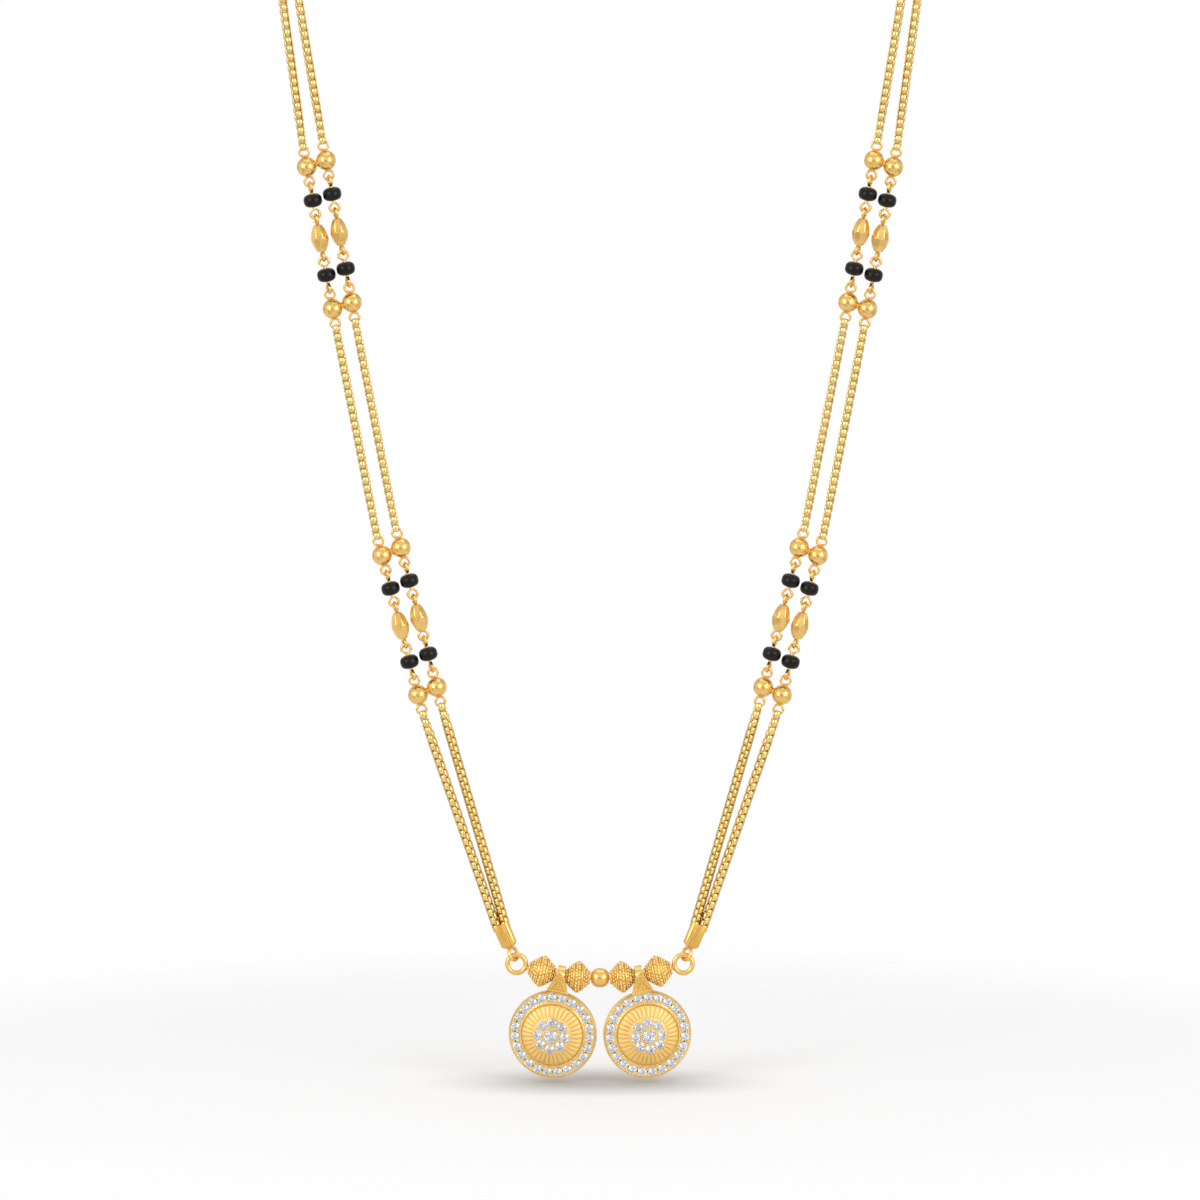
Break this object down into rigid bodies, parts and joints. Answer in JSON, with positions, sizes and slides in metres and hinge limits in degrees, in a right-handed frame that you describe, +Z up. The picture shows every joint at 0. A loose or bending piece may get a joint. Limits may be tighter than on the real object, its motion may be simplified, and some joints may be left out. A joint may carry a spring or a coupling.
{
  "type": "mangalsutra necklace",
  "caption": "Long two-strand necklace: box chain with gold and black beads, a curved bar and round stone-set pendants that swing.",
  "frame": {"origin": "middle of the neck hollow at the height where the chain lies round the nape", "axes": "+Z up, +X to the viewer's right, -Y out of the pendants' faces"},
  "size_m": [0.1056, 0.0994, 0.2027],
  "materials": {
    "chain": "polished yellow gold box chain",
    "gold_bead": "polished yellow gold",
    "filigree_bead": "granulated yellow gold",
    "gold_wire": "drawn yellow gold wire",
    "end_fitting": "satin yellow gold",
    "pendant": "bright cut yellow gold",
    "black_bead": "glossy black glass",
    "stones": "clear cut stones"
  },
  "bodies": {
    "necklace": {"bar_wire": "gold_wire", "bar_ball": "gold_bead", "clasp": "end_fitting", "outer_bicone_left": "filigree_bead", "inner_bicone_left": "filigree_bead", "outer_bicone_right": "filigree_bead", "inner_bicone_right": "filigree_bead", "front_cap_left": "end_fitting", "rear_cap_left": "end_fitting", "front_cap_right": "end_fitting", "rear_cap_right": "end_fitting", "ball_pair_upper_top_left": "gold_bead", "ball_pair_upper_foot_left": "gold_bead", "ball_pair_lower_top_left": "gold_bead", "ball_pair_lower_foot_left": "gold_bead", "ball_pair_upper_top_right": "gold_bead", "ball_pair_upper_foot_right": "gold_bead", "ball_pair_lower_top_right": "gold_bead", "ball_pair_lower_foot_right": "gold_bead", "oval_bead_upper_outer_left": "gold_bead", "oval_bead_upper_inner_left": "gold_bead", "oval_bead_lower_outer_left": "gold_bead", "oval_bead_lower_inner_left": "gold_bead", "oval_bead_upper_outer_right": "gold_bead", "oval_bead_upper_inner_right": "gold_bead", "oval_bead_lower_outer_right": "gold_bead", "oval_bead_lower_inner_right": "gold_bead", "black_bead_upper_outer_top_left": "black_bead", "black_bead_upper_outer_foot_left": "black_bead", "black_bead_upper_inner_top_left": "black_bead", "black_bead_upper_inner_foot_left": "black_bead", "black_bead_lower_outer_top_left": "black_bead", "black_bead_lower_outer_foot_left": "black_bead", "black_bead_lower_inner_top_left": "black_bead", "black_bead_lower_inner_foot_left": "black_bead", "black_bead_upper_outer_top_right": "black_bead", "black_bead_upper_outer_foot_right": "black_bead", "black_bead_upper_inner_top_right": "black_bead", "black_bead_upper_inner_foot_right": "black_bead", "black_bead_lower_outer_top_right": "black_bead", "black_bead_lower_outer_foot_right": "black_bead", "black_bead_lower_inner_top_right": "black_bead", "black_bead_lower_inner_foot_right": "black_bead", "black_bead_pins": "gold_wire", "chain_upper_outer_left": "chain", "chain_upper_inner_left": "chain", "chain_middle_outer_left": "chain", "chain_middle_inner_left": "chain", "chain_lower_outer_left": "chain", "chain_lower_inner_left": "chain", "chain_upper_outer_right": "chain", "chain_upper_inner_right": "chain", "chain_middle_outer_right": "chain", "chain_middle_inner_right": "chain", "chain_lower_outer_right": "chain", "chain_lower_inner_right": "chain"},
    "left_pendant": {"pendant_left": "pendant", "pendant_stones_left": "stones"},
    "right_pendant": {"pendant_right": "pendant", "pendant_stones_right": "stones"}
  },
  "joints": [
    {"name": "left_pendant_swing", "type": "hinge", "parent": "necklace", "child": "left_pendant", "pos_m": [-0.00596, -0.046, -0.18553], "axis": [0.9936, 0, -0.1132], "range_deg": [-55, 55]},
    {"name": "right_pendant_swing", "type": "hinge", "parent": "necklace", "child": "right_pendant", "pos_m": [0.00596, -0.046, -0.18553], "axis": [0.9936, 0, 0.1132], "range_deg": [-55, 55]}
  ]
}
